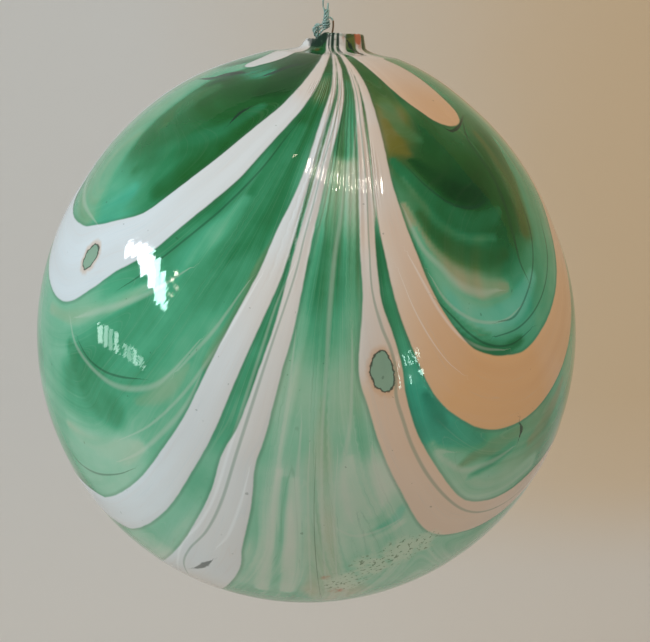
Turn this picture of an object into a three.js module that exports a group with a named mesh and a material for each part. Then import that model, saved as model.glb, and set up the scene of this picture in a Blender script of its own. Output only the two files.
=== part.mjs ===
// A witch ball: a hollow ball of blown glass with a short open neck, cracked off unevenly. It hangs
// from a nylon line, whose lower end is wound into a toggle that lies across under the neck.
// Millimetres, +Z up. The origin is the point where a hook carries the loop at the line's upper end.

import * as THREE from "three";

const degrees = THREE.MathUtils.degToRad;

// The glass
const ballDiameter = 140;
const wall = 2.5;
const shoulderRise = 4.5; // how far the shoulder stands out of the sphere beside the neck
const shoulderStart = degrees(60); // from the neck's axis, where the shoulder leaves the sphere
const boreDiameter = 11.6;
const neckWall = 1.5; // at the rim
const neckSpread = 0.8; // how much further out the neck's foot stands than its rim
const neckHeight = 3.2;
const neckFootRise = 2.4; // of the neck's foot above the shoulder
const flareWidth = 7.3; // of the hollow sweep between the shoulder and the neck's foot
const neckLean = degrees(1.8); // the neck stands a little crooked, higher on its +X side
const leanReach = degrees(32); // from the neck's axis, where the crookedness has died out
const chipDepth = 1.8; // of the low place in the rim, on its -X side
const chipHalfAngle = degrees(40);
const chipEdge = degrees(30); // over which the rim rises again beside the chip

// The nylon line
const lineDiameter = 0.5;
const lineLength = 32; // between its two knots
const loopLength = 9;
const loopWidth = 4.6;
const loopKnotLength = 3.6;
const loopKnotDiameter = 2.2;
const lineKnotLength = 5.2;
const lineKnotDiameter = 2.6;
const lineKnotLift = 0.7; // of the knot above the rim
const lineKnotShift = 0.7; // of the knot to the right of the line
const tagLength = 1.8;
const bightDiameter = 1.5;
const bightHeight = 2.1; // of the bight's crown above the rim
const toggleDiameter = 3.2;
const toggleBearing = 2; // how far each end of the toggle reaches past the bore
const wrapPitch = 1; // from one turn to the next in a wound knot

// How it hangs
const hangTilt = degrees(5.5); // of the neck's axis, towards +X
const lineOffset = 3.2; // of the line from the neck's axis at the rim, towards -X
const touch = 0.3; // left free between pieces that touch

const roundSegments = 48;
const bodySteps = 16;
const shoulderSteps = 7;
const flareSteps = 4;

const ballRadius = ballDiameter / 2;
const boreRadius = boreDiameter / 2;
const rimRadius = boreRadius + neckWall;
const neckFootRadius = rimRadius + neckSpread;
const outerEnd = Math.asin((neckFootRadius + flareWidth) / ballRadius);
const innerEnd = Math.asin((boreRadius + flareWidth) / (ballRadius - wall));

// A point of the glass's section, at an angle from the neck's axis and a depth below the outer face.
function sectionPoint(angle, depth) {
  const towardsNeck = Math.max(0, (shoulderStart - angle) / (shoulderStart - outerEnd));
  const radius = ballRadius + shoulderRise * towardsNeck ** 1.1 - depth;
  return new THREE.Vector2(radius * Math.sin(angle), radius * Math.cos(angle));
}

const outerShoulder = sectionPoint(outerEnd, 0);
const innerShoulder = sectionPoint(innerEnd, wall);
const neckFootHeight = outerShoulder.y + neckFootRise;
const rimHeight = neckFootHeight + neckHeight;

const outerFlare = new THREE.QuadraticBezierCurve(
  outerShoulder,
  new THREE.Vector2(neckFootRadius, outerShoulder.y + neckFootRise / 3),
  new THREE.Vector2(neckFootRadius, neckFootHeight),
);
const innerFlare = new THREE.QuadraticBezierCurve(
  innerShoulder,
  new THREE.Vector2(boreRadius, innerShoulder.y + neckFootRise / 6),
  new THREE.Vector2(boreRadius, neckFootHeight - wall / 2),
);

// The angles from one to another in equal steps, without the last.
function steps(from, to, count) {
  return Array.from({ length: count }, (_, i) => THREE.MathUtils.lerp(from, to, i / count));
}

function glassSection() {
  const outside = [
    ...steps(Math.PI, shoulderStart, bodySteps),
    ...steps(shoulderStart, outerEnd, shoulderSteps),
  ].map((angle) => sectionPoint(angle, 0));
  const inside = [
    ...steps(Math.PI, shoulderStart, bodySteps),
    ...steps(shoulderStart, innerEnd, shoulderSteps),
  ].map((angle) => sectionPoint(angle, wall));
  const section = [
    ...outside,
    ...outerFlare.getPoints(flareSteps),
    new THREE.Vector2(rimRadius, rimHeight),
    new THREE.Vector2(boreRadius, rimHeight),
    ...innerFlare.getPoints(flareSteps).reverse(),
    ...inside.reverse(),
  ];
  section[0].x = 0;
  section.at(-1).x = 0;
  return section;
}

// How much the crooked neck lifts a point of the glass, or lowers it where the figure is negative.
function crookedLift(x, y, z) {
  const angle = Math.atan2(Math.hypot(x, y), z);
  return x * Math.tan(neckLean) * (1 - THREE.MathUtils.smoothstep(angle, outerEnd, leanReach));
}

// How far the rim is chipped down at an angle round the neck's axis.
function chipAt(around) {
  const fromChip = Math.PI - Math.abs(around);
  return chipDepth * (1 - THREE.MathUtils.smoothstep(fromChip, chipHalfAngle, chipHalfAngle + chipEdge));
}

function glassGeometry() {
  const geometry = new THREE.LatheGeometry(glassSection(), roundSegments);
  geometry.rotateX(Math.PI / 2);
  const position = geometry.attributes.position;
  for (let i = 0; i < position.count; i += 1) {
    const x = position.getX(i);
    const y = position.getY(i);
    const z = position.getZ(i);
    const upNeck = Math.max(0, (z - neckFootHeight) / neckHeight);
    position.setZ(i, z + crookedLift(x, y, z) - chipAt(Math.atan2(y, x)) * upNeck);
  }
  return geometry;
}

// A knot wound from line, along the Y axis from 0 to its length, with a rounded ridge for each turn.
function woundKnot(length, diameter) {
  const turns = Math.max(2, Math.round(length / wrapPitch));
  const ridge = lineDiameter / 2;
  const section = [new THREE.Vector2(0, 0)];
  for (let i = 0; i <= turns * 4; i += 1) {
    const along = i / (turns * 4);
    const crown = Math.sqrt(1 - 0.5 * (2 * along - 1) ** 2);
    const groove = ridge * (0.5 + 0.5 * Math.cos(Math.PI * 2 * along * turns));
    section.push(new THREE.Vector2((diameter / 2) * crown - groove, along * length));
  }
  section.push(new THREE.Vector2(0, length));
  return new THREE.LatheGeometry(section, 12);
}

function tube(curve, diameter, stepCount) {
  const circle = new THREE.Shape().absarc(0, 0, diameter / 2, 0, Math.PI * 2);
  return new THREE.ExtrudeGeometry(circle, {
    extrudePath: curve,
    steps: stepCount,
    curveSegments: 4,
    bevelEnabled: false,
  });
}

function smoothCurve(points) {
  return new THREE.CatmullRomCurve3(points.map((p) => new THREE.Vector3(...p)));
}

const glass = new THREE.MeshStandardMaterial({ color: 0x58a074, roughness: 0.06, metalness: 0 });
const nylon = new THREE.MeshStandardMaterial({ color: 0x8fc0b4, roughness: 0.25, metalness: 0 });
const stainedNylon = new THREE.MeshStandardMaterial({ color: 0x8c7354, roughness: 0.4, metalness: 0 });

function piece(name, geometry, material) {
  const mesh = new THREE.Mesh(geometry, material);
  mesh.name = name;
  return mesh;
}

// Heights of the line's pieces, from the loop down to the rim
const lineTop = -loopLength - loopKnotLength - touch;
const lineKnotTop = lineTop - lineLength - touch;
const lineKnotBottom = lineKnotTop - lineKnotLength;
const rimLevel = lineKnotBottom - lineKnotLift;

// The ball hangs crooked, with its rim's middle beside the line.
const mouth = new THREE.Vector3(-lineOffset, 0, rimHeight);
mouth.applyAxisAngle(new THREE.Vector3(0, 1, 0), hangTilt);
const ball = new THREE.Group();
ball.rotation.y = hangTilt;
ball.position.set(-mouth.x, 0, rimLevel - mouth.z);
ball.add(piece("glass_ball", glassGeometry(), glass));

// The toggle lies across under the neck, below the line, and its ends bear on the inner flare.
const toggleHalf = Math.sqrt(boreRadius ** 2 - lineOffset ** 2) + toggleBearing;
const bearingRadius = Math.hypot(lineOffset, toggleHalf);
const bearing = innerFlare.getPoints(100).find((p) => p.x <= bearingRadius);
const toggleLevel =
  bearing.y + crookedLift(-lineOffset, 0, bearing.y) - toggleDiameter / 2 - touch;
const toggle = piece("toggle_knot", woundKnot(2 * toggleHalf, toggleDiameter), nylon);
toggle.position.set(-lineOffset, -toggleHalf, toggleLevel);
ball.add(toggle);

const line = new THREE.Group();

// The two ends of the line come down onto the toggle inside the neck.
const neckDepth = rimHeight - toggleLevel - toggleDiameter / 2 - touch;
const footX = -neckDepth * Math.sin(hangTilt);
const footLevel = rimLevel - neckDepth * Math.cos(hangTilt);
const bightFoot = footX + bightDiameter * 0.1;
const legFoot = bightFoot + bightDiameter / 2 + lineDiameter / 2 + touch;
const bightRoute = smoothCurve([
  [lineKnotShift - lineKnotDiameter / 2 - touch, 0, rimLevel + bightHeight - bightDiameter / 2],
  [-1.5, -0.1, rimLevel + bightHeight - bightDiameter / 2 - 0.1],
  [-2, -0.2, rimLevel + 0.5],
  [-1.75, -0.2, rimLevel - 0.5],
  [-1, -0.1, rimLevel - 2.2],
  [bightFoot, 0, footLevel + 1.2],
  [bightFoot, 0, footLevel],
]);
line.add(piece("line_bight", tube(bightRoute, bightDiameter, 16), nylon));
const legX = lineKnotShift + lineKnotDiameter / 2 + lineDiameter / 2 + touch;
const legRoute = smoothCurve([
  [legX, -0.2, rimLevel + 2.8],
  [legX, -0.2, rimLevel + 1],
  [legX * 0.8, -0.1, rimLevel - 1.5],
  [legFoot, 0, footLevel + 1.2],
  [legFoot, 0, footLevel],
]);
line.add(piece("thin_leg", tube(legRoute, lineDiameter, 12), stainedNylon));

const lineKnot = piece("line_knot", woundKnot(lineKnotLength, lineKnotDiameter), nylon);
lineKnot.rotation.x = Math.PI / 2;
lineKnot.position.set(lineKnotShift, 0, lineKnotBottom);
line.add(lineKnot);

const tagRoute = smoothCurve([
  [lineKnotShift + lineDiameter, 0, lineKnotTop + touch],
  [lineKnotShift + lineDiameter, 0, lineKnotTop + touch + tagLength],
]);
line.add(piece("tag_end", tube(tagRoute, lineDiameter, 2), nylon));

const lineRoute = smoothCurve([
  [0, 0, lineTop - lineLength],
  [0, 0, lineTop],
]);
line.add(piece("hanging_line", tube(lineRoute, lineDiameter, 16), nylon));

const loopKnot = piece("loop_knot", woundKnot(loopKnotLength, loopKnotDiameter), nylon);
loopKnot.rotation.x = Math.PI / 2;
loopKnot.position.set(0, 0, -loopLength - loopKnotLength);
line.add(loopKnot);

// The loop's inner crown is at the origin.
const loopSide = (loopWidth - lineDiameter) / 2;
const loopFootX = lineDiameter / 2 + touch;
const leftOfLoop = [
  [-loopFootX, 0, -loopLength + touch],
  [-loopSide * 0.62, 0, -loopLength * 0.7],
  [-loopSide, 0, -loopLength * 0.32],
  [-loopSide * 0.66, 0, -loopLength * 0.07],
];
const rightOfLoop = leftOfLoop.map(([x, y, z]) => [-x, y, z]).reverse();
const loopRoute = smoothCurve([...leftOfLoop, [0, 0, lineDiameter / 2], ...rightOfLoop]);
line.add(piece("hanging_loop", tube(loopRoute, lineDiameter, 28), nylon));

const witchBall = new THREE.Group();
witchBall.add(ball, line);

export default witchBall;
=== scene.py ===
# A witch ball: a hollow ball of blown green glass with combed trails of opal glass, hung by its
# open neck on a nylon line that is wound into a toggle inside. It is dressed here over its CAD frame.
import math
import random

import bpy
import numpy as np
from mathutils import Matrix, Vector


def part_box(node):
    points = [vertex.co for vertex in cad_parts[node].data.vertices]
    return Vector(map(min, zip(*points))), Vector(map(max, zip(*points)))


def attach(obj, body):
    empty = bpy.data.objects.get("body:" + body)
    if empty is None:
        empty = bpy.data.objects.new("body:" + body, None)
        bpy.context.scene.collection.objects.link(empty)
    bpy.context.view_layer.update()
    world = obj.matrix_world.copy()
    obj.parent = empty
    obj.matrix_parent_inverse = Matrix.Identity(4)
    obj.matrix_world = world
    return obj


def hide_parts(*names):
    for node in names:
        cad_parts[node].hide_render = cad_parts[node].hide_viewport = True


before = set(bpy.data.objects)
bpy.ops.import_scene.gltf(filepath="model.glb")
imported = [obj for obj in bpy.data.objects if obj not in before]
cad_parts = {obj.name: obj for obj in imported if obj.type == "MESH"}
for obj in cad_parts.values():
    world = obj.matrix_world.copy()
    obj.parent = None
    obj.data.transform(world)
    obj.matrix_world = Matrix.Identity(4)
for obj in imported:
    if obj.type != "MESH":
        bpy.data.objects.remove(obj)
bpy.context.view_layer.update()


# The camera stands half a metre before the ball and a little above its middle, level with the eyes
# of someone who looks at it on its hook. It sees the ball's top, and the line ends above its view.
ball_radius = 70.0  # mm, as are all lengths until a mesh is made
hang_tilt = math.radians(5.5)  # of the neck's axis, towards +X
ball_centre = np.array([-4.317, 0.0, -129.321])
picture_size = (650, 642)  # pixels
ball_in_picture = (306.7, 333.0, 269.5)  # pixels: the middle of its outline and its radius
camera_distance = 7 * ball_radius
camera_elevation = math.radians(9.1)
focal_length = ball_in_picture[2] / math.tan(math.asin(ball_radius / camera_distance))  # pixels
sensor_width = 36.0


def unit(vector):
    return vector / np.linalg.norm(vector, axis=-1, keepdims=True)


def make_camera():
    """The camera, and the way it looks: its place and its forward, right and upward directions."""
    away = np.array([0, -math.cos(camera_elevation), math.sin(camera_elevation)])
    place = ball_centre + camera_distance * away
    aside = np.array([1.0, 0, 0])
    above = np.cross(aside, -away)
    off_x = (picture_size[0] / 2 - ball_in_picture[0]) / focal_length
    off_y = (ball_in_picture[1] - picture_size[1] / 2) / focal_length
    forward = unit(-away + off_x * aside + off_y * above)
    right = unit(np.cross(forward, [0, 0, 1.0]))
    upward = np.cross(right, forward)
    camera = bpy.data.objects.new("camera", bpy.data.cameras.new("camera"))
    camera.data.sensor_width = sensor_width
    camera.data.lens = focal_length / picture_size[0] * sensor_width
    camera.data.clip_start = 0.01
    turn = np.eye(4)
    turn[:3, 0], turn[:3, 1], turn[:3, 2] = right, upward, -forward
    turn[:3, 3] = place / 1000
    camera.matrix_world = turn.T
    bpy.context.scene.collection.objects.link(camera)
    bpy.context.scene.camera = camera
    return place, forward, right, upward


view_place, view_forward, view_right, view_upward = make_camera()


# The line is one length of nylon monofilament, half a millimetre thick, once clear and now a dull
# sea green. It is tied by hand: a loop and its knot at the top, and below a doubled end that leans
# over the chipped rim and goes in to the toggle. One leg of it is stained brown.
line_width, end_narrowing = 0.5, 0.6
strand_pitch = 0.62  # from one turn to the next in a wound knot
steps_per_turn = 18


def linear(colour):
    """An sRGB hex colour as the linear values that Blender works with."""
    parts = [int(colour[i:i + 2], 16) / 255 for i in (1, 3, 5)]
    return [p / 12.92 if p <= 0.04045 else ((p + 0.055) / 1.055) ** 2.4 for p in parts] + [1.0]


def add(tree, kind, settings=(), *values, **named):
    """Adds a node and gives its first output. Settings are its own; values go to its inputs in turn,
    and named ones to those inputs. Each is another node's output, a number or a hex colour."""
    node = tree.nodes.new("ShaderNode" + kind)
    for name, value in dict(settings).items():
        setattr(node, name, value)
    given = list(zip([socket for socket in node.inputs if socket.enabled], values))
    given += [(node.inputs[name.replace("_", " ")], value) for name, value in named.items()]
    for socket, value in given:
        if isinstance(value, bpy.types.NodeSocket):
            tree.links.new(value, socket)
        else:
            socket.default_value = linear(value) if isinstance(value, str) else value
    return next(socket for socket in node.outputs if socket.enabled)


def new_material(name):
    """A material with only a Principled shader and its output."""
    material = bpy.data.materials.new(name)
    material.use_nodes = True
    tree = material.node_tree
    return material, tree, tree.nodes["Principled BSDF"]


# Drawn nylon 6: IOR 1.53, smooth, clouded with age. The dust in it makes paler and duller places about
# 1.4 mm across, and the die has left marks a quarter of a millimetre apart, which break the gloss.
dust_scale, mark_scale = 700.0, 4000.0  # per metre


def nylon_monofilament(name, clean, dusty, cloudiness):
    material, tree, surface = new_material(name)
    place = add(tree, "TexCoord").node.outputs["Object"]
    dust = add(tree, "TexNoise", (), place, Scale=dust_scale, Detail=3.0)
    colour = add(tree, "Mix", {"data_type": "RGBA"}, dust, clean, dusty)
    tree.links.new(colour, surface.inputs["Base Color"])
    marks = add(tree, "TexNoise", (), place, Scale=mark_scale, Detail=2.0)
    rough = add(tree, "MapRange", (), marks, To_Min=0.18, To_Max=0.45)
    tree.links.new(rough, surface.inputs["Roughness"])
    surface.inputs["IOR"].default_value = 1.53
    surface.inputs["Transmission Weight"].default_value = cloudiness
    return material


nylons = {
    "nylon": nylon_monofilament("aged nylon monofilament", "#8abdb4", "#d2e5df", 0.55),
    "stained_nylon": nylon_monofilament("stained nylon monofilament", "#6b5138", "#94714a", 0.2),
}


def smooth_route(points, per_span=10):
    """A smooth route through the points."""
    p = np.array(points, float)
    p = np.vstack([2 * p[0] - p[1], p, 2 * p[-1] - p[-2]])
    t = np.linspace(0, 1, per_span, endpoint=False)[:, None]
    spans = []
    for i in range(1, len(p) - 2):
        a, b, c, d = p[i - 1:i + 3]
        spans.append(0.5 * (2 * b + (c - a) * t + (2 * a - 5 * b + 4 * c - d) * t ** 2
                            + (3 * b - a - 3 * c + d) * t ** 3))
    return np.vstack([*spans, p[-2:-1]])


def line_piece(node, name, routes, slot="nylon", sides=10):
    """A piece of the line: one mesh of round strands, each along its route, narrower at its cut ends."""
    vertices, faces = [], []
    for route in routes:
        route = np.asarray(route, float)
        ahead = unit(np.gradient(route, axis=0))
        side = unit(np.cross(ahead[0], [0.31, 0.94, 0.13]))
        first = len(vertices)
        last = len(route) - 1
        for k, point in enumerate(route):
            side = unit(side - ahead[k] * (side @ ahead[k]))
            other = np.cross(ahead[k], side)
            radius = line_width / 2 * (end_narrowing if k in (0, last) else 1.0)
            for s in range(sides):
                turn = 2 * math.pi * s / sides
                vertices.append(point + radius * (math.cos(turn) * side + math.sin(turn) * other))
        for k in range(last):
            for s in range(sides):
                a, b = first + k * sides + s, first + k * sides + (s + 1) % sides
                faces.append((a, b, b + sides, a + sides))
        faces.append(tuple(first + s for s in reversed(range(sides))))
        faces.append(tuple(first + last * sides + s for s in range(sides)))
    mesh = bpy.data.meshes.new(name)
    mesh.from_pydata((np.array(vertices) / 1000).tolist(), [], faces)
    mesh.polygons.foreach_set("use_smooth", [True] * len(mesh.polygons))
    mesh.materials.append(nylons[slot])
    piece = bpy.data.objects.new(name, mesh)
    bpy.context.scene.collection.objects.link(piece)
    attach(piece, "root")
    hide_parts(node)
    return piece


def wound_turns(foot, axis, length, width, seed):
    """The routes of a knot's strands: an inner layer, and an outer one of uneven turns over it."""
    draw = random.Random(seed)
    axis = unit(np.array(axis, float))
    side = unit(np.cross(axis, [0.2, 1.0, 0.1] if abs(axis[1]) < 0.9 else [1.0, 0.2, 0.1]))
    other = np.cross(axis, side)
    routes = []
    for layer, radius in enumerate((width / 2 - 1.5 * line_width, width / 2 - line_width / 2)):
        pitch = strand_pitch * (1.1 if layer else 1.5)
        turns = (length - line_width) / pitch
        leans = [draw.uniform(-0.35, 0.35) for _ in range(int(turns) + 3)]
        steps = int(turns * steps_per_turn)
        route = []
        for i in range(steps + 1):
            along = i / steps
            turn = 2 * math.pi * along * turns
            lean = np.interp(along * turns, range(len(leans)), leans)
            crown = math.sqrt(1 - 0.5 * (2 * along - 1) ** 2)
            reach = max(radius, 0.15) * crown
            height = line_width / 2 + along * (length - line_width) + 0.5 * lean * math.sin(turn)
            height = min(max(height, line_width / 2), length - line_width / 2)
            route.append(foot + axis * height + reach * (math.cos(turn) * side + math.sin(turn) * other))
        routes.append(route)
    return routes


def laid_strands(route, width, turns_per_mm, count=3):
    """Strands twisted round a route, as a doubled and redoubled end of line lies."""
    route = np.asarray(route, float)
    ahead = unit(np.gradient(route, axis=0))
    side = unit(np.cross(ahead, [0.1, 1.0, 0.0]))
    other = np.cross(ahead, side)
    gone = np.concatenate([[0], np.cumsum(np.linalg.norm(np.diff(route, axis=0), axis=1))])
    strands = []
    for k in range(count):
        turn = 2 * math.pi * (gone * turns_per_mm + k / count)[:, None]
        reach = (width - line_width) / 2
        strands.append(route + reach * (np.cos(turn) * side + np.sin(turn) * other))
    return strands


# The knot above the mouth is slim: strands laid together, with a few turns drawn tight at its foot. The
# line, the tag, the bight and the leg run into it.
line_knot_foot = np.array([0.7, 0, -50.4])
knot_core = smooth_route([(0.75, 0, -50.15), (0.6, 0.05, -48.6), (0.85, -0.05, -47.0), (0.9, 0, -45.5)])
line_knot = line_piece("line_knot", "line_knot_turns", [
    *laid_strands(knot_core, 1.5, 0.24, 4),
    *wound_turns(line_knot_foot, (0.06, 0, 1), 2.3, 2.3, 3),
    smooth_route([(0.55, 0, -46.6), (0.3, 0, -45.6), (0.05, 0, -44.95)]),
    smooth_route([(0.9, 0, -45.9), (1.15, 0, -45.3), (1.2, 0, -44.95)]),
    smooth_route([(0.2, -0.1, -49.4), (-0.4, -0.1, -49.3), (-0.95, 0, -49.7)]),
    smooth_route([(1.2, -0.1, -47.6), (2.0, -0.2, -47.7), (2.5, -0.2, -48.3)]),
])


# The loop's knot ties off the line above the picture. It is the same nylon, wound tight on itself.
loop_knot_foot = np.array([0, 0, -12.6])
loop_turns = wound_turns(loop_knot_foot, (0, 0, 1), 3.6, 2.2, 5)
loop_knot = line_piece("loop_knot", "loop_knot_turns", loop_turns)


# The toggle is the line's other end, wound into a short bar that lies across under the neck and can't
# pass it, so that it carries the ball. It is the same nylon, and only its shadow shows in the mouth.
toggle_low, toggle_high = (np.array(corner) * 1000 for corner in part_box("toggle_knot"))
toggle_middle = (toggle_low + toggle_high) / 2
toggle_foot = np.array([toggle_middle[0], toggle_low[1], toggle_middle[2]])
toggle_turns = wound_turns(toggle_foot, (0, 1, 0), toggle_high[1] - toggle_low[1], 3.2, 8)
toggle = line_piece("toggle_knot", "toggle_turns", toggle_turns, sides=8)


# The bight is a doubled end of the line. It leans over the chipped rim and goes in to the toggle, with
# three of its turns hanging loose, so that it looks ragged from the front.
bight_route = smooth_route([
    (-0.9, 0, -49.75), (-1.5, -0.1, -49.85), (-2, -0.2, -50.6), (-1.75, -0.2, -51.6),
    (-1, -0.1, -53.3), (-0.47, 0, -56.37), (-0.47, 0, -57.57),
])
loose_turns = [smooth_route(points) for points in (
    [(0.9, 0.2, -49.6), (0.1, -0.6, -49.9), (-0.9, -0.5, -50.5), (-1.3, -0.1, -51.6), (-0.8, 0, -53.6)],
    [(1.2, -0.3, -50.1), (0.3, -0.7, -50.5), (-0.5, -0.5, -51.2), (-0.9, -0.2, -52.4), (-0.5, 0, -54.6)],
    [(0.2, -0.2, -49.2), (-1.0, -0.6, -49.5), (-2.0, -0.6, -50.2), (-2.2, -0.2, -51.1), (-1.7, 0, -52.2)],
)]
bight_strands = [*laid_strands(bight_route, 1.6, 0.3), *loose_turns]
line_bight = line_piece("line_bight", "line_bight_strands", bight_strands)


# The thin leg is the same line, stained brown by rust. It leaves the knot on the right and goes into
# the mouth.
leg_route = smooth_route([
    (2.55, -0.2, -48.3), (2.55, -0.2, -50.1), (2.04, -0.1, -52.6), (0.83, 0, -56.37), (0.83, 0, -57.57),
])
thin_leg = line_piece("thin_leg", "thin_leg_strand", [leg_route], "stained_nylon")


# The tag is the knot's cut end, which stands up beside the line.
tag_route = smooth_route([(1.2, 0, -45.2), (1.22, 0, -44.6), (1.3, 0.02, -43.9)])
tag_end = line_piece("tag_end", "tag_end_strand", [tag_route])


# The line itself runs straight up, taut under the ball's weight, from the knot to the loop's knot.
line_foot, line_length, line_spans = -44.9, 32, 16
line_route = [(0, 0, line_foot + line_length * i / line_spans) for i in range(line_spans + 1)]
hanging_line = line_piece("hanging_line", "hanging_line_strand", [line_route])


# The loop goes over a hook. It is one bight of the line, drawn to a teardrop by the weight.
loop_left = [(-0.55, 0, -8.7), (-1.27, 0, -6.3), (-2.05, 0, -2.88), (-1.35, 0, -0.63)]
loop_route = smooth_route([*loop_left, (0, 0, 0.25), *[(-x, y, z) for x, y, z in reversed(loop_left)]])
hanging_loop = line_piece("hanging_loop", "hanging_loop_strand", [loop_route])


# The ball is free-blown: green glass with gathers of opal glass, white to cream, trailed round it and
# combed up to the neck and down again, so that the trails hang from the neck in festoons. The neck is
# cracked off and not ground, its rim chipped on the left. Wall, neck and shoulder are as in the frame.
wall = 2.5
bore_radius = 5.8
rim_radius = bore_radius + 1.5
neck_foot_radius = rim_radius + 0.8
neck_height = 3.2
shoulder_rise, shoulder_start = 4.5, math.radians(60)
outer_end = math.asin((neck_foot_radius + 7.3) / ball_radius)
inner_end = math.asin((bore_radius + 7.3) / (ball_radius - wall))
neck_lean, lean_reach = math.radians(1.8), math.radians(32)
chip_depth, chip_half_angle, chip_edge = 1.8, math.radians(40), math.radians(30)
trail_height, blister_depth = 0.12, 0.14
columns, front_crowding = 360, 0.33  # the mesh's columns are closer together in front, for the fine lines


def smoothstep(value, low, high):
    t = np.clip((value - low) / (high - low), 0, 1)
    return t * t * (3 - 2 * t)


def ball_reach(down):
    """How far the glass's outer face is from the ball's middle, at an angle from the neck's axis."""
    towards_neck = np.clip((shoulder_start - down) / (shoulder_start - outer_end), 0, 1)
    return ball_radius + shoulder_rise * towards_neck ** 1.1


def section(down, depth):
    reach = ball_reach(down) - depth
    return np.stack([reach * np.sin(down), reach * np.cos(down)], axis=-1)


def flare(start, bend, end, steps):
    t = np.linspace(0, 1, steps)[:, None]
    return (1 - t) ** 2 * np.array(start) + 2 * t * (1 - t) * np.array(bend) + t ** 2 * np.array(end)


shoulder = section(np.array(outer_end), 0)
inner_shoulder = section(np.array(inner_end), wall)
neck_foot = shoulder[1] + 2.4
rim_height = neck_foot + neck_height
outer_rows = np.vstack([
    section(np.linspace(math.pi, outer_end, 208), 0)[:-1],
    flare(shoulder, (neck_foot_radius, shoulder[1] + 0.8), (neck_foot_radius, neck_foot), 9),
    [(7.85, neck_foot + 1.0), (7.6, neck_foot + 2.0), (7.38, rim_height - 0.35), (7.2, rim_height)],
])
inner_rows = np.vstack([
    [(5.95, rim_height), (bore_radius, rim_height - 0.3), (bore_radius, neck_foot + 1.5)],
    flare(inner_shoulder, (bore_radius, inner_shoulder[1] + 0.4),
          (bore_radius, neck_foot - wall / 2), 7)[::-1],
    section(np.linspace(inner_end, math.pi, 46), wall)[1:],
])


upright_turn = np.array([[math.cos(hang_tilt), 0, math.sin(hang_tilt)], [0, 1, 0],
                         [-math.sin(hang_tilt), 0, math.cos(hang_tilt)]])


def to_frame(points):
    """From the ball's own axes, its neck along +Z, to the frame."""
    return points @ upright_turn.T


def to_ball(points):
    return points @ upright_turn


foot_rise = 5.0  # how the neck's foot stands out of the shoulder's sweep, where the picture shows it


def seen(x, y):
    """The direction from the ball's middle, in its own axes, of the place seen at a pixel."""
    ray = unit(view_forward + (x - picture_size[0] / 2) / focal_length * view_right
               - (y - picture_size[1] / 2) / focal_length * view_upward)
    start = view_place - ball_centre
    reach = ball_radius
    for _ in range(12):
        along = ray @ start
        inside = along * along - (start @ start - reach ** 2)
        place = unit(start + (-along - math.sqrt(max(inside, 0))) * ray)
        down = math.acos(to_ball(place)[2])
        reach = 0.5 * (reach + float(ball_reach(down)) + foot_rise * max(1 - down / outer_end, 0) ** 2)
    return to_ball(place)


def hidden(down, around):
    """The same for a place the picture doesn't show, by angles from the neck and round from the front."""
    d, a = math.radians(down), math.radians(around)
    return np.array([math.sin(d) * math.sin(a), -math.sin(d) * math.cos(a), math.cos(d)])


def direction(place):
    """The direction of a place, which is (x, y) or ("h", down, around)."""
    return hidden(*place[1:]) if place[0] == "h" else seen(*place)


def course(stations):
    """A smooth course over the ball. A station is (x, y, width) in the picture, or where the picture
    doesn't show it ("h", down, around, width)."""
    points = [[*direction(place), width] for *place, width in stations]
    route = smooth_route(points, 8)
    route[:, :3] = unit(route[:, :3])
    return route


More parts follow.
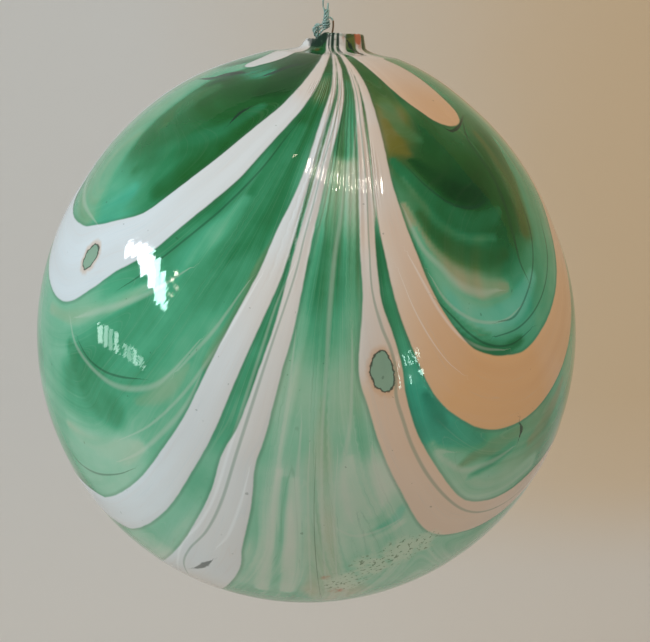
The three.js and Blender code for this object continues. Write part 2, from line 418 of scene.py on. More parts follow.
# Courses of the opal trails, from the neck down and, most of them, up again to the neck. Each has a
# number from 0, white, to 1, cream, and a place from left to right that keeps the streaks in order.
# The cream of the right-hand trails is partly the opal's own and partly painted warm lamplight.
trails = {
    "left festoon": (0.0, -46, [("h", 4.6, -13, 0.4), ("h", 5.9, -14, 0.5), (328, 50, 1.4),
        (322.5, 63, 2.2), (311.5, 82, 3.5), (298, 100, 4.6), (282, 117, 5.5), (250, 147, 7.4),
        (221, 174, 9.0), (182, 205, 9.8), (145, 233, 11.2), (112, 247, 13.7), (88, 258, 17.0),
        (70, 262, 19.0), (60, 240, 15), ("h", 66, -82, 9.5), ("h", 57, -86, 6.5), ("h", 46, -87, 5.2),
        ("h", 34, -86, 4.4), ("h", 22, -84, 3.2), ("h", 8, -84, 2)]),
    "small left loop": (0.1, -70, [(308, 40, 2.6), (304, 42, 4.2), (289, 49, 6.6), (272, 56, 6.6),
        (254, 62.5, 4.6)]),
    "lower left festoon": (0.05, -16, [("h", 4.6, -9, 0.35), ("h", 5.9, -9.5, 0.4), (332, 51, 0.6),
        (334, 62, 0.8), (334.5, 76, 1.0), (333, 92, 1.2), (325, 118, 1.6), (316, 148, 1.8),
        (309, 170, 2.0), (299, 198, 2.6), (285, 235, 4.4), (270, 275, 5.3), (248, 320, 6.2),
        (225, 367, 7.0), (201, 420, 7.8), (180, 456, 8.6), (152, 495, 9.8), (122, 513, 10.5),
        (103, 505, 10), ("h", 118, -98, 10), ("h", 95, -112, 8), ("h", 60, -122, 5), ("h", 30, -125, 3),
        ("h", 6, -125, 1.5)]),
    "bottom festoon": (0.25, -6, [(333, 51, 0.5), (335.5, 57, 0.7), (338.5, 66, 1.0), (340, 76, 1.2),
        (341, 96, 1.5), (336, 120, 2.0), (329, 145, 2.2), (322, 170, 2.4), (315, 200, 2.7),
        (306, 235, 3.2), (286, 320, 4.4), (270, 372, 5.2), (252, 430, 6.6), (238, 462, 8.2),
        (230, 502, 10.2), (216, 540, 13), (204, 566, 16), ("h", 152, -128, 17), ("h", 138, -152, 13),
        ("h", 110, -160, 9), ("h", 70, -160, 5), ("h", 30, -160, 3), ("h", 6, -160, 1.5)]),
    "lower right festoon": (0.55, 17, [("h", 4.6, -0.5, 0.5), ("h", 5.9, 0, 0.55), (338, 51, 0.7),
        (344, 60, 0.9), (350, 72, 1.1), (357, 94, 1.5), (360, 120, 1.8), (363, 150, 2.3),
        (366, 200, 3.4), (368, 250, 3.7), (372, 300, 4.4), (377, 340, 8.0), (381, 372, 10.3),
        (387, 400, 9.3), (399, 440, 9.2), (418, 478, 10), (445, 515, 11.5), (475, 516, 10.2),
        (503, 503, 9.2), (530, 478, 8.2), ("h", 101, 88, 8.2), ("h", 82, 104, 6.5), ("h", 45, 116, 4),
        ("h", 20, 118, 2), ("h", 6, 118, 1.5)]),
    "right festoon": (1.0, 32, [(340.5, 53, 0.6), (346.5, 61, 1.0), (353.5, 70, 1.4), (363, 88, 1.9),
        (371, 115, 2.5), (376.5, 143, 3.4), (382.5, 182, 4.6), (391, 220, 6.4), (402, 258, 8.0),
        (415, 298, 9.7), (432, 335, 11.5), (455, 372, 14.5), (478, 388, 16.5), (502, 393, 18),
        (530, 382, 17), (553, 350, 16), (564, 310, 14), (563, 270, 11), (550, 220, 8),
        ("h", 48, 84.5, 6), ("h", 36, 86, 4.8), ("h", 24, 85, 3.8), ("h", 13, 83, 2.8),
        ("h", 6, 80, 1.5)]),
    "small right loop": (0.9, 52, [("h", 4.6, 12.5, 1.7), ("h", 5.9, 13, 1.8), (345.5, 50, 2.2),
        (355, 54.5, 4.6), (369, 60, 7.6), (389, 71, 11.6), (406, 83, 13.8), (421, 95, 14.4),
        (436, 107, 13.2)]),
    "rusty root": (0.8, 58, [("h", 4.6, 50, 2.0), ("h", 5.9, 50, 2.2), (364, 51, 2.6), (374, 58, 5.0)]),
    "far festoon": (0.5, 80, [("h", 4.6, 175, 1), ("h", 30, 172, 3), ("h", 70, 168, 7),
        ("h", 104, 164, 11), ("h", 118, 154, 13), ("h", 104, 142, 11), ("h", 70, 137, 7),
        ("h", 30, 136, 3), ("h", 5, 135, 1)]),
    "far loop": (0.3, -90, [("h", 4.6, -142, 1), ("h", 20, -142, 4), ("h", 36, -142, 7),
        ("h", 48, -142, 8)]),
}
# Courses that only lead the streaks in the green glass between the trails.
leads = [
    (-30, [("h", 6, -8, 1), (326, 70, 1), (300, 125, 1), (262, 190, 1), (215, 262, 1), (165, 335, 1),
     (118, 395, 1), (85, 425, 1), ("h", 96, -95, 1)]),
    (4, [("h", 6, 8, 1), (343, 100, 1), (341, 160, 1), (334, 240, 1), (327, 340, 1), (322, 450, 1),
     (330, 540, 1), (342, 592, 1), ("h", 172, 60, 1)]),
    (10, [("h", 6, 10, 1), (350, 120, 1), (352, 200, 1), (350, 300, 1), (353, 400, 1), (366, 480, 1),
     (395, 555, 1), ("h", 150, 30, 1)]),
    (-2, [(318, 230, 1), (300, 320, 1), (280, 420, 1), (268, 500, 1), (262, 560, 1),
     ("h", 160, -40, 1)]),
]


# Thin lines drawn out in the glass: dark ones, where clear green shows between two gathers or dirt lies
# in a fold, and pale ones, of opal pulled to a thread. Each station's width is in mm.
dark_lines = [
    [(349.5, 71, 0.1), (356.5, 94, 0.3), (360, 120, 0.35), (363, 150, 0.4), (367, 200, 0.4),
     (369, 245, 0.45), (372, 290, 0.5), (381, 325, 0.8), (391, 350, 0.8), (396, 374, 0.8),
     (396, 396, 0.9), (403, 420, 0.9), (412, 446, 0.9), (427, 474, 0.9), (446, 497, 0.8),
     (465, 510, 0.7), (484, 511, 0.6), (505, 502, 0.4), (528, 482, 0.2)],
    [(340, 80, 0.1), (340.5, 96, 0.3), (335.5, 120, 0.35), (328.5, 145, 0.35), (321.5, 170, 0.4),
     (314.5, 200, 0.4), (305, 235, 0.45), (297, 268, 0.5), (287, 300, 0.5), (270, 350, 0.6),
     (252, 405, 0.8), (237, 452, 0.8), (222, 500, 0.8), (207, 530, 0.7), (190, 548, 0.6),
     (184, 562, 0.6), (189, 574, 0.3)],
    [(331, 104, 0.1), (327, 122, 0.5), (318, 150, 0.6), (310, 180, 0.5), (305, 205, 0.1)],
    [(78, 340, 0.2), (88, 358, 0.5), (104, 371, 0.6), (122, 377, 0.6), (142, 379, 0.2)],
    [(64, 440, 0.2), (78, 461, 0.5), (96, 473, 0.7), (118, 474, 0.4), (135, 468, 0.1)],
    [(303, 117, 0.1), (264, 166, 0.5), (224, 207, 0.6), (182, 242, 0.6), (142, 274, 0.5),
     (118, 290, 0.1)],
    [(462, 118, 0.2), (466, 135, 0.8), (476, 152, 0.8), (492, 175, 1.0), (505, 205, 1.2),
     (514, 238, 0.9), (520, 262, 0.7), (528, 280, 0.2)],
    [(520, 200, 0.2), (530, 230, 0.5), (533, 262, 0.6), (528, 290, 0.6), (515, 316, 0.6),
     (498, 322, 0.2)],
    [(541, 222, 0.2), (547, 250, 0.5), (546, 280, 0.5), (536, 308, 0.5), (518, 328, 0.5),
     (495, 337, 0.3)],
    [(436, 300, 0.2), (452, 316, 0.5), (470, 334, 0.6), (490, 345, 0.6), (512, 344, 0.5),
     (532, 328, 0.2)],
    [(405, 165, 0.1), (425, 185, 0.5), (446, 201, 0.8), (462, 207, 1.0), (476, 207, 0.9),
     (485, 200, 0.2)],
    [(316, 450, 0.05), (314, 510, 0.15), (316, 560, 0.2), (321, 598, 0.15)],
    [("h", 5.4, -70, 0.3), ("h", 5.42, -35, 0.4), ("h", 5.38, 0, 0.25), ("h", 5.42, 30, 0.4),
     ("h", 5.38, 75, 0.3)],
]
# Blue-black smears of dirt at the neck's foot and by the left loops.
smears = [
    [("h", 6.0, 26, 0.4), ("h", 6.5, 31, 0.9), (357, 50, 1.2), (362, 53, 0.8), (368, 57, 0.2)],
    [("h", 5.3, 4.5, 0.5), ("h", 5.9, 5.5, 0.5), (342.5, 51, 0.6), (345, 54, 0.3)],
    [("h", 5.3, -4.5, 0.5), ("h", 5.9, -5, 0.5), (335, 49, 0.2)],
    [("h", 5.3, -11, 0.3), ("h", 5.9, -11.5, 0.35), (330.5, 50, 0.2)],
    [("h", 5.5, -64, 0.8), ("h", 5.6, -44, 2.2), ("h", 5.7, -26, 1.8), ("h", 5.6, -16, 0.5)],
    [(198, 79, 0.3), (212, 78, 1.6), (226, 74, 2.2), (238, 72, 1.8), (246, 72, 0.3)],
    [(252, 106, 0.2), (240, 113, 0.9), (230, 123, 0.3)],
    [(303, 63, 0.3), (288, 66, 1.0), (276, 71, 1.4), (262, 76, 0.3)],
    [(445, 128, 0.2), (452, 131, 0.8), (459, 126, 0.7), (463, 116, 0.2)],
    [(520, 423, 0.3), (521.5, 430, 1.3), (519, 437, 0.4)],
    [(193, 568, 0.2), (199, 567, 1.2), (205, 564, 1.7), (212, 560, 0.3)],
]
pale_lines = [
    [(310, 440, 0.2), (308, 500, 0.6), (311, 590, 0.4)],
    [(338, 450, 0.2), (334, 520, 0.5), (337, 585, 0.3)],
    [(296, 262, 0.1), (278, 300, 0.5), (262, 348, 0.7), (245, 400, 0.8), (230, 447, 0.8),
     (215, 495, 0.8), (199, 524, 0.8), (183, 541, 0.8), (178, 560, 0.6), (181, 572, 0.3)],
    [(250, 468, 0.2), (240, 505, 0.7), (228, 535, 0.8), (216, 548, 0.3)],
    [(262, 275, 0.2), (235, 320, 0.8), (210, 358, 0.9), (182, 395, 0.8), (150, 425, 0.6),
     (120, 440, 0.2)],
    [(250, 280, 0.2), (218, 325, 0.8), (196, 350, 0.9), (176, 372, 0.4)],
    [(205, 365, 0.2), (188, 402, 1.0), (165, 430, 1.2), (140, 452, 0.9), (118, 462, 0.3)],
    [(75, 318, 0.3), (95, 312, 1.6), (125, 303, 1.6), (155, 290, 1.0), (190, 268, 0.3)],
    [(70, 318, 0.3), (76, 345, 0.9), (96, 372, 1.0), (120, 387, 1.4), (150, 387, 1.4), (172, 372, 0.8),
     (200, 340, 0.3)],
    [(402, 205, 0.2), (412, 228, 1.0), (424, 250, 1.2), (440, 266, 1.6), (458, 284, 2.2),
     (480, 293, 2.2), (498, 290, 0.8)],
    [(430, 275, 0.2), (444, 298, 0.7), (462, 314, 0.8), (482, 322, 0.8), (505, 320, 0.6),
     (522, 305, 0.2)],
    [(408, 255, 0.2), (424, 284, 0.6), (440, 312, 0.7), (460, 336, 0.8), (482, 348, 0.8),
     (505, 350, 0.3)],
    [(345, 175, 0.2), (341, 215, 0.9), (334, 262, 1.1), (329, 320, 1.1), (326, 380, 0.9),
     (322, 440, 0.7), (322, 520, 0.7), (326, 590, 0.4)],
    [(352, 330, 0.2), (352, 380, 0.7), (350, 425, 0.9), (344, 465, 1.5), (346, 500, 1.8),
     (352, 522, 0.4)],
    [(372, 445, 0.3), (376, 470, 2.2), (380, 490, 1.8), (382, 505, 0.3)],
    [(296, 330, 0.2), (288, 400, 0.9), (280, 450, 1.1), (276, 500, 1.2), (268, 545, 1.8),
     (262, 585, 1.0)],
    [(302, 420, 0.2), (298, 470, 1.0), (296, 515, 1.6), (290, 550, 2.6), (286, 585, 1.4)],
    [(335, 528, 0.3), (355, 536, 1.0), (380, 530, 1.0), (402, 518, 0.3)],
    [(362, 100, 0.1), (356, 130, 0.5), (352, 180, 0.6), (350, 225, 0.2)],
    [(452, 452, 0.3), (436, 452, 1.4), (462, 470, 1.6), (490, 462, 1.4), (512, 448, 0.6)],
    [(398, 270, 0.1), (412, 305, 0.25), (428, 335, 0.3), (446, 360, 0.2), (462, 374, 0.1)],
    [(98, 225, 0.3), (84, 200, 1.4), (92, 170, 1.2), (112, 142, 0.9), (140, 112, 0.7), (176, 86, 0.2)],
]
# Burst blisters, which leave a clear green window in the opal.
blisters = [
    [(96, 248, 1.6), (93, 253, 4.2), (88, 261, 3.8), (85, 267, 1.2)],
    [(382, 352, 1.2), (381, 359, 3.4), (382, 371, 5.4), (385, 382, 4.4), (387, 389, 1.6)],
]
# How the green glass is coloured: soft places at a pixel, with a reach in mm, a tone from 0, clear and
# deep, to 1, milky, and a cast from -1, olive brown, by 0, green, to 1, blue-green.
island_tints = [
    (300, 62, 6, 0.10, 0.2), (250, 86, 8, 0.10, 0.1), (216, 76, 5, 0.08, 0.6), (258, 71, 4, 0.42, 0.7),
    (205, 118, 9, 0.22, 0.0), (240, 128, 7, 0.26, -0.1), (160, 150, 9, 0.30, 0.0),
    (168, 186, 7, 0.40, 0.1), (120, 192, 7, 0.52, 0.5), (142, 118, 6, 0.46, -0.3),
    (96, 186, 4, 0.56, -0.1), (180, 90, 5, 0.40, -0.2),
]
left_tints = [
    (290, 122, 6, 0.21, 0), (264, 170, 7, 0.33, 0), (238, 212, 7, 0.31, 0), (195, 252, 8, 0.43, 0),
    (210, 285, 7, 0.37, 0.1), (160, 295, 7, 0.45, 0.1), (110, 318, 7, 0.51, 0),
    (84, 302, 6, 0.64, -0.3), (125, 340, 8, 0.41, 0.1), (200, 325, 7, 0.5, 0), (92, 372, 7, 0.39, 0),
    (80, 395, 6, 0.43, 0.1), (102, 402, 7, 0.39, 0.1), (112, 432, 8, 0.68, -0.1),
    (82, 436, 6, 0.7, -0.2), (105, 464, 8, 0.68, 0), (160, 384, 7, 0.54, -0.3),
    (150, 414, 7, 0.54, -0.1), (190, 378, 6, 0.49, 0.1), (58, 330, 6, 0.6, 0), (48, 290, 6, 0.62, 0),
    (55, 400, 6, 0.56, 0), (165, 440, 6, 0.52, 0.1),
]
strip_tints = [
    (300, 250, 5, 0.46, 0.15), (265, 322, 5, 0.4, 0.15), (246, 380, 5, 0.46, 0.05),
    (226, 432, 5, 0.5, 0.05), (214, 462, 5, 0.62, 0.05), (205, 485, 5, 0.56, 0.05),
    (190, 510, 6, 0.64, 0.15), (170, 532, 6, 0.6, 0.15), (158, 550, 5, 0.74, 0.05),
]
middle_tints = [
    (345, 92, 6, 0.38, -0.57), (345, 140, 6, 0.58, -0.47), (342, 182, 7, 0.78, -0.47),
    (335, 215, 6, 0.62, -0.37), (328, 250, 7, 0.48, -0.27), (314, 288, 7, 0.46, -0.17),
    (346, 275, 7, 0.46, -0.27), (302, 340, 7, 0.62, -0.37), (326, 330, 6, 0.56, -0.17),
    (350, 335, 6, 0.52, -0.27), (310, 400, 8, 0.74, -0.47), (336, 400, 7, 0.72, -0.27),
    (282, 430, 7, 0.64, -0.15), (264, 500, 8, 0.72, 0.1), (292, 520, 7, 0.86, 0),
    (285, 562, 8, 0.86, 0.1), (262, 575, 6, 0.72, 0.1), (320, 500, 7, 0.78, -0.1),
    (322, 560, 7, 0.78, -0.2), (352, 438, 6, 0.68, -0.15), (354, 490, 7, 0.9, -0.1),
    (376, 486, 6, 0.9, -0.25), (388, 512, 6, 0.68, 0.1), (350, 540, 7, 0.9, 0.1),
    (396, 542, 7, 0.72, 0.1), (372, 566, 7, 0.74, 0.1), (425, 560, 7, 0.66, 0.1),
    (332, 590, 6, 0.74, -0.65), (268, 594, 5, 0.52, 0.15), (300, 598, 5, 0.52, 0.15),
    (362, 400, 5, 0.7, -0.47), (352, 365, 5, 0.64, -0.37),
]
right_tints = [
    (382, 262, 5, 0.3, 0), (392, 312, 5, 0.34, 0.1), (402, 350, 5, 0.38, 0.3), (416, 386, 6, 0.44, 0.8),
    (430, 414, 6, 0.46, 0.9), (455, 432, 6, 0.48, 0.8), (484, 440, 7, 0.4, -0.1),
    (515, 440, 7, 0.42, -0.3), (540, 420, 6, 0.48, -0.5), (560, 395, 6, 0.54, -0.2),
    (470, 466, 6, 0.66, -0.1), (448, 456, 5, 0.7, 0), (505, 464, 6, 0.66, -0.2),
    (478, 484, 6, 0.76, 0.2), (570, 360, 5, 0.58, 0), (505, 548, 7, 0.68, 0.1),
    (450, 572, 7, 0.66, 0.1), (400, 592, 7, 0.6, 0.1),
]
bowl_tints = [
    (358, 72, 4, 0.22, -0.25), (372, 94, 5, 0.24, -0.25), (383, 118, 5, 0.4, -0.75),
    (396, 140, 4.5, 0.46, -1), (412, 158, 5, 0.24, -0.65), (428, 148, 6, 0.18, -0.3),
    (432, 172, 6, 0.1, -0.15), (470, 176, 9, 0.06, -0.1), (482, 196, 6, 0.08, -0.1),
    (450, 146, 6, 0.24, -0.2), (458, 128, 5, 0.38, -0.45), (480, 150, 6, 0.24, -0.15),
    (498, 178, 6, 0.2, -0.1), (506, 205, 6, 0.2, -0.1), (416, 190, 5, 0.38, -0.3),
    (440, 214, 6, 0.32, 0.1), (470, 222, 7, 0.3, 0.1), (502, 236, 7, 0.24, -0.1),
    (412, 216, 5, 0.46, -0.4), (430, 246, 6, 0.34, -0.25), (456, 260, 6, 0.28, -0.45),
    (490, 266, 7, 0.28, -0.45), (440, 276, 5, 0.53, -0.7), (470, 290, 6, 0.53, -0.8),
    (492, 290, 6, 0.53, -0.8), (442, 300, 5, 0.59, 0.9), (470, 314, 6, 0.59, 0.9),
    (500, 312, 6, 0.57, 0.9), (520, 290, 6, 0.53, 0.7), (460, 334, 5, 0.49, 0.3),
    (500, 342, 6, 0.45, 0), (540, 300, 6, 0.49, 0.3), (532, 268, 6, 0.5, -0.2),
    (548, 265, 5, 0.52, -0.15), (523, 215, 5, 0.34, -0.6), (511, 182, 5, 0.34, -0.6),
    (534, 212, 5, 0.56, -0.35), (520, 160, 5, 0.62, -0.45), (494, 124, 5, 0.62, -0.45),
    (470, 104, 4, 0.56, -0.45), (400, 66, 4, 0.46, -0.25),
]
neck_tints = [
    ("h", 5.6, 31, 2.0, 0.40, -1.0), ("h", 5.4, 8, 0.8, 0.0, -0.4), ("h", 5.4, -6, 0.8, 0.0, -0.4),
    ("h", 5.8, 72, 1.6, 0.05, -0.2), ("h", 5.8, -40, 3.0, 0.0, -0.2), ("h", 9, -30, 4.0, 0.16, 0.1),
    ("h", 8, 30, 2.0, 0.14, 0.1),
]
# Bands drawn out in the green glass and laid over the soft places: a tone, a cast, and the places
# along it, each with its half-width in mm.
bands = [
    (0.05, 0.1, [(310, 56, 3.0), (296, 68, 3.5), (280, 84, 3.0), (262, 92, 1.5)]),
    (0.55, -0.3, [(240, 66, 2), (204, 78, 4.5), (170, 96, 6.5), (138, 122, 7.5), (110, 156, 8),
     (92, 192, 7), (86, 216, 4)]),
    (0.40, 0.5, [(250, 73, 1.0), (260, 74, 1.6), (274, 71, 1.2)]),
    (0.30, -0.3, [(214, 88, 1.6), (196, 97, 2.4), (176, 112, 2.0), (160, 128, 1.2)]),
    (0.22, 0.0, [(276, 110, 1.5), (248, 134, 2.2), (216, 156, 3.0), (184, 176, 3.4), (160, 190, 2.0)]),
    (0.33, 0.2, [(262, 106, 0.8), (226, 128, 1.4), (192, 140, 1.8), (160, 152, 1.6), (136, 170, 1.2)]),
    (0.50, 0.6, [(132, 190, 1.6), (120, 202, 2.4), (108, 212, 2.0)]),
    (0.34, 0.0, [(300, 130, 1.6), (286, 158, 2.4), (264, 200, 2.8), (242, 234, 2.6), (216, 264, 1.6)]),
    (0.50, 0.1, [(246, 200, 1.0), (228, 222, 1.8), (206, 240, 2.0), (180, 262, 2.0)]),
    (0.44, -0.5, [(276, 238, 0.6), (255, 280, 1.2), (234, 322, 1.5), (208, 366, 1.5)]),
    (0.64, -0.4, [(52, 308, 1.2), (72, 318, 1.4), (96, 312, 1.6), (124, 300, 1.4), (150, 286, 0.8)]),
    (0.38, 0.1, [(70, 345, 1.0), (82, 372, 2.5), (94, 396, 3.6), (112, 412, 3.6)]),
    (0.72, -0.4, [(70, 426, 1.2), (92, 442, 2.4), (120, 450, 3.0), (140, 446, 1.4)]),
    (0.54, -0.5, [(138, 402, 1.0), (156, 396, 1.8), (176, 380, 1.6), (188, 366, 0.8)]),
    (0.30, 0.1, [(306, 262, 0.8), (290, 296, 1.2)]),
    (0.40, -0.2, [(345, 84, 1.2), (347, 120, 2.0), (346, 150, 2.2)]),
    (0.70, -0.5, [(322, 400, 0.6), (320, 450, 2.0), (318, 500, 3.0), (321, 560, 3.4), (326, 598, 3.0)]),
    (0.86, 0.0, [(280, 470, 0.5), (276, 500, 1.0), (268, 545, 1.4), (262, 588, 1.2)]),
    (0.86, 0.0, [(294, 480, 0.6), (294, 505, 1.2), (290, 548, 1.6), (286, 590, 1.4)]),
    (0.60, 0.1, [(284, 480, 0.8), (280, 540, 1.0), (275, 590, 1.0)]),
    (0.9, -0.1, [(350, 460, 0.8), (346, 490, 1.4), (350, 518, 1.2)]),
    (0.9, -0.1, [(372, 468, 1.0), (377, 492, 2.2), (374, 512, 1.4)]),
    (0.84, 0.0, [(338, 530, 0.8), (358, 538, 1.2), (384, 532, 1.2), (402, 522, 0.6)]),
    (0.60, 0.5, [(402, 508, 0.8), (392, 522, 1.2), (372, 534, 1.0)]),
    (0.36, 0.9, [(412, 392, 1.8), (424, 412, 3.0), (448, 432, 3.4), (480, 440, 1.8)]),
    (0.22, 0.7, [(426, 396, 1.0), (436, 412, 1.6), (444, 424, 1.0)]),
    (0.40, -0.4, [(460, 466, 0.6), (480, 452, 1.8), (506, 442, 2.2), (520, 430, 1.2)]),
    (0.40, 0.7, [(470, 476, 0.6), (492, 462, 1.2), (512, 446, 1.0)]),
    (0.44, -0.7, [(530, 440, 1.0), (545, 420, 1.8), (556, 398, 1.6), (562, 380, 0.8)]),
    (0.66, -0.2, [(440, 452, 0.8), (450, 470, 1.6), (470, 486, 2.2), (500, 482, 2.0), (530, 462, 1.6)]),
    (0.56, 0.1, [(432, 442, 0.5), (446, 462, 0.5)]),
    (0.36, -0.35, [(384, 100, 1.2), (392, 118, 1.6), (404, 132, 1.8), (418, 139, 1.0)]),
    (0.36, -1.0, [(386, 122, 0.8), (390, 134, 1.4), (398, 146, 1.8), (410, 156, 0.8)]),
    (0.02, -0.1, [(412, 160, 0.8), (430, 174, 1.8), (450, 189, 2.4), (468, 197, 2.4), (482, 194, 1.6)]),
    (0.31, 0.0, [(394, 162, 0.8), (408, 176, 1.2), (430, 198, 1.6), (456, 214, 1.8), (484, 219, 2.0),
     (498, 210, 1.2)]),
    (0.42, -0.35, [(402, 176, 0.4), (420, 200, 0.8), (440, 224, 0.9), (466, 238, 0.9),
     (494, 238, 0.7)]),
    (0.26, -0.4, [(420, 214, 0.8), (440, 238, 1.6), (460, 251, 1.8), (484, 259, 2.0), (504, 252, 1.4)]),
    (0.62, -0.85, [(404, 206, 0.6), (416, 230, 1.2), (432, 254, 1.8), (454, 278, 2.6), (480, 291, 3.0),
     (506, 288, 1.6)]),
    (0.68, 0.8, [(414, 228, 0.6), (426, 252, 1.2), (444, 280, 1.8), (464, 304, 2.6), (492, 318, 3.0),
     (518, 302, 2.4), (532, 276, 1.4)]),
    (0.42, -0.5, [(408, 240, 0.3), (424, 276, 0.7), (444, 306, 0.8), (464, 326, 0.8), (488, 336, 0.6)]),
    (0.30, 0.0, [(452, 330, 0.5), (474, 344, 1.2), (500, 350, 1.2), (520, 340, 0.8)]),
    (0.32, -0.6, [(476, 134, 0.8), (500, 168, 1.6), (516, 200, 1.8), (524, 230, 1.4)]),
    (0.50, -0.2, [(478, 110, 1.5), (505, 147, 3.2), (527, 190, 4.2), (542, 236, 3.8), (547, 272, 2.0)]),
]
# How creamy the opal is, from 0, a cool white, to 1: a pixel, a reach in mm and the creaminess. The
# cream towards the right is partly the opal's own and partly painted warm lamplight.
cream_and_warm_light_tints = [
    (250, 147, 12, 0.05), (110, 255, 15, 0.0), (225, 367, 10, 0.05), (140, 505, 12, 0.0),
    (336, 90, 6, 0.3), (280, 340, 8, 0.22), (262, 400, 8, 0.22), (225, 520, 10, 0.12),
    (355, 95, 4, 0.45), (366, 200, 6, 0.22), (369, 280, 7, 0.22), (368, 340, 6, 0.22),
    (392, 350, 5, 0.55), (392, 420, 7, 0.62), (420, 480, 8, 0.60), (450, 525, 10, 0.60),
    (505, 503, 10, 0.55), (368, 105, 4, 0.28), (378, 160, 6, 0.40), (392, 225, 7, 0.52),
    (412, 290, 8, 0.66), (440, 345, 10, 0.85), (490, 395, 14, 1.05), (560, 320, 12, 0.90),
    (548, 220, 8, 0.75), (352, 48, 3, 0.25), (372, 58, 6, 0.30), (400, 75, 7, 0.50), (425, 98, 8, 0.78),
    (443, 110, 6, 0.95),
]
# Rust and dirt: a red place on the neck, a smear under the knot, brown marks below and a tan blister rim.
stains = [
    ("h", 5.5, 50, 1.3, 1.0), ("h", 5.55, 15, 0.6, 0.5), (326, 578, 2.5, 0.5), (338, 590, 3.0, 0.6),
    (330, 598, 2.5, 0.4), (316, 46, 1.5, 0.5), (290, 229, 1.2, 0.35), (184, 436, 1.0, 0.3),
]
scuffed = [(345, 582, 7.0), (372, 566, 7.0), (400, 552, 7.0), (424, 542, 5.0)]
far_turn = math.radians(163)  # the far side is coloured as the near one is, turned round the neck's axis


def to_courses(points, route):
    """For each point, the nearest place on a course: how far inside its width, how far to its left, and
    the width there; and the weight of all the course's places at the point, with their mean distance."""
    near_sum, beside_sum = np.zeros(len(points)), np.zeros(len(points))
    inside = np.full(len(points), -1e6)
    nearest = np.full(len(points), 1e6)
    beside = np.zeros(len(points))
    width = np.ones(len(points))
    for a, b in zip(route[:-1], route[1:]):
        ahead = b[:3] - a[:3]
        t = np.clip(((points - a[:3]) @ ahead) / (ahead @ ahead), 0, 1)
        gap = points - a[:3] - t[:, None] * ahead
        distance = ball_radius * np.sqrt((gap ** 2).sum(axis=1))
        here = a[3] + t * (b[3] - a[3])
        inside = np.maximum(inside, here / 2 - distance)
        closer = distance < nearest
        nearest = np.where(closer, distance, nearest)
        side = np.sign(gap @ np.cross(a[:3], ahead))
        beside = np.where(closer, side * distance, beside)
        width = np.where(closer, here, width)
        near = 1 / (distance ** 2 + 3) ** 3
        near_sum += near
        beside_sum += near * side * distance
    return inside, beside, width, near_sum ** (2 / 3), beside_sum / near_sum


def apart(lines, gap=10.0):
    """The lines sorted into sets in which none comes near another, so that their sides don't mix."""
    sets = []
    for stations in lines:
        route = course(stations)[:, :3]
        for members in sets:
            if all((route @ other.T).max() < math.cos(gap / ball_radius) for _, other in members):
                members.append((stations, route))
                break
        else:
            sets.append([(stations, route)])
    return [[stations for stations, _ in members] for members in sets]


def to_lines(points, lines):
    """How many half-widths each point is to the side of the nearest line."""
    nearest = np.full(len(points), 1e6)
    off = np.full(len(points), 1e3)
    for stations in lines:
        route = course(stations)
        near = (points @ unit(route[:, :3].mean(axis=0))) > 0.3
        _, beside, width, _, _ = to_courses(points[near], route)
        closer = np.abs(beside) < nearest[near]
        nearest[near] = np.where(closer, np.abs(beside), nearest[near])
        # Far from a line the count grows fast, so that nothing shows where the sides of two lines meet.
        grown = beside * (1 + 4 * np.maximum(np.abs(beside) - 2.5, 0) ** 2)
        half_widths = np.clip(2 * grown / np.maximum(width, 0.05), -1e4, 1e4)
        off[near] = np.where(closer, half_widths, off[near])
    return off


def nearness(points, place, reach):
    """How near each point is to a place, from 0 far away to 1."""
    gap = ball_radius ** 2 * ((points - direction(place)) ** 2).sum(axis=1)
    return np.exp(-gap / reach ** 2)


# How strongly each part of the green glass is drawn out in streaks.
streakiness = ((0.12, island_tints), (0.35, left_tints), (0.6, strip_tints), (1.0, middle_tints),
               (0.5, right_tints), (0.1, bowl_tints), (0.5, neck_tints))


def tint_fields(points):
    """The green glass's tone and cast at each point, and how strongly it is drawn out in streaks."""
    weight = np.full(len(points), 0.02)
    tone, cast, drawn = weight * 0.45, weight * 0.0, weight * 0.6
    c, s = math.cos(far_turn), math.sin(far_turn)
    turned = points @ np.array([[c, s, 0], [-s, c, 0], [0, 0, 1]])
    for strength, tints in streakiness:
        for *place, reach, depth, tint in tints:
            for from_middle in (points, turned):
                share = nearness(from_middle, place, reach)
                weight += share
                tone += share * depth
                cast += share * tint
                drawn += share * strength
    drawn /= weight
    for depth, tint, stations in bands:
        route = course(stations)
        for from_middle in (points, turned):
            near = (from_middle @ unit(route[:, :3].mean(axis=0))) > 0.6
            _, beside, half, _, _ = to_courses(from_middle[near], route)
            share = 5 * np.exp(-(np.abs(beside) / half) ** (2 + 0.35 * half))
            weight[near] += share
            tone[near] += share * depth
            cast[near] += share * tint
    return tone / weight, cast / weight, drawn


